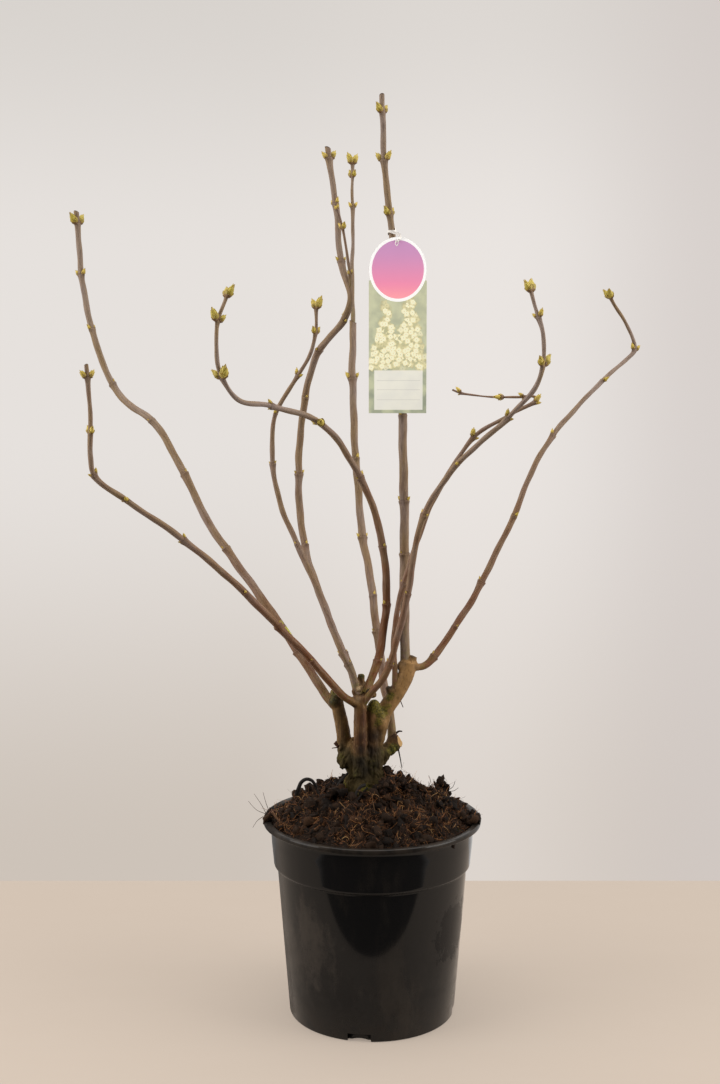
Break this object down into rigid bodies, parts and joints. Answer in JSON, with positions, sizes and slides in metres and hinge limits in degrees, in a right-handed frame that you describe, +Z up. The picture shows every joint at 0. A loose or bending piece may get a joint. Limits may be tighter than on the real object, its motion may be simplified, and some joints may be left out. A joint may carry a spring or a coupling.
{
  "type": "potted lilac bush, leafless, at bud break",
  "caption": "Leafless potted lilac shrub at bud break: long budded canes on a cut-back trunk, in a black nursery pot with a hang tag.",
  "frame": {"origin": "centre of the pot's flat underside, on the surface that it stands on", "axes": "+Z up; the hang tag faces -Y; +X is to the right of someone who looks at the tag"},
  "size_m": [0.7443, 0.3599, 1.114],
  "materials": {
    "trunk_bark": "rough old bark with green algae and moss",
    "arm_bark": "dull brown bark, green with algae low down",
    "cane_bark": "smooth reddish brown bark with pale lenticels",
    "shoot_bark": "grey brown bark with yellow green buds",
    "pot_plastic": "black moulded plastic, satin, dusty",
    "growing_medium": "loose fibrous peat",
    "tag_card": "coated card, printed",
    "tag_ribbon": "plain white"
  },
  "bodies": {
    "root": {"trunk": "trunk_bark", "arm_left": "arm_bark", "arm_centre": "arm_bark", "arm_right": "arm_bark", "arm_stub": "arm_bark", "left_tall_bough": "cane_bark", "left_tall_shoot": "shoot_bark", "left_low_bough": "cane_bark", "left_low_shoot": "shoot_bark", "inner_left_short_bough": "cane_bark", "inner_left_short_shoot": "shoot_bark", "inner_left_tall_bough": "cane_bark", "inner_left_tall_shoot": "shoot_bark", "inner_left_spur": "shoot_bark", "centre_tall_bough": "cane_bark", "centre_tall_shoot": "shoot_bark", "front_arch_lower_bough": "cane_bark", "front_arch_upper_bough": "cane_bark", "front_arch_shoot": "shoot_bark", "right_front_bough": "cane_bark", "right_front_shoot": "shoot_bark", "tag_cane_bough": "cane_bark", "tag_cane_shoot": "shoot_bark", "right_inner_bough": "cane_bark", "right_inner_shoot": "shoot_bark", "right_inner_twig": "shoot_bark", "right_outer_bough": "cane_bark", "right_outer_shoot": "shoot_bark", "pot": "pot_plastic", "soil": "growing_medium", "hang_tag": "tag_card", "tag_tie": "tag_ribbon"}
  },
  "joints": []
}
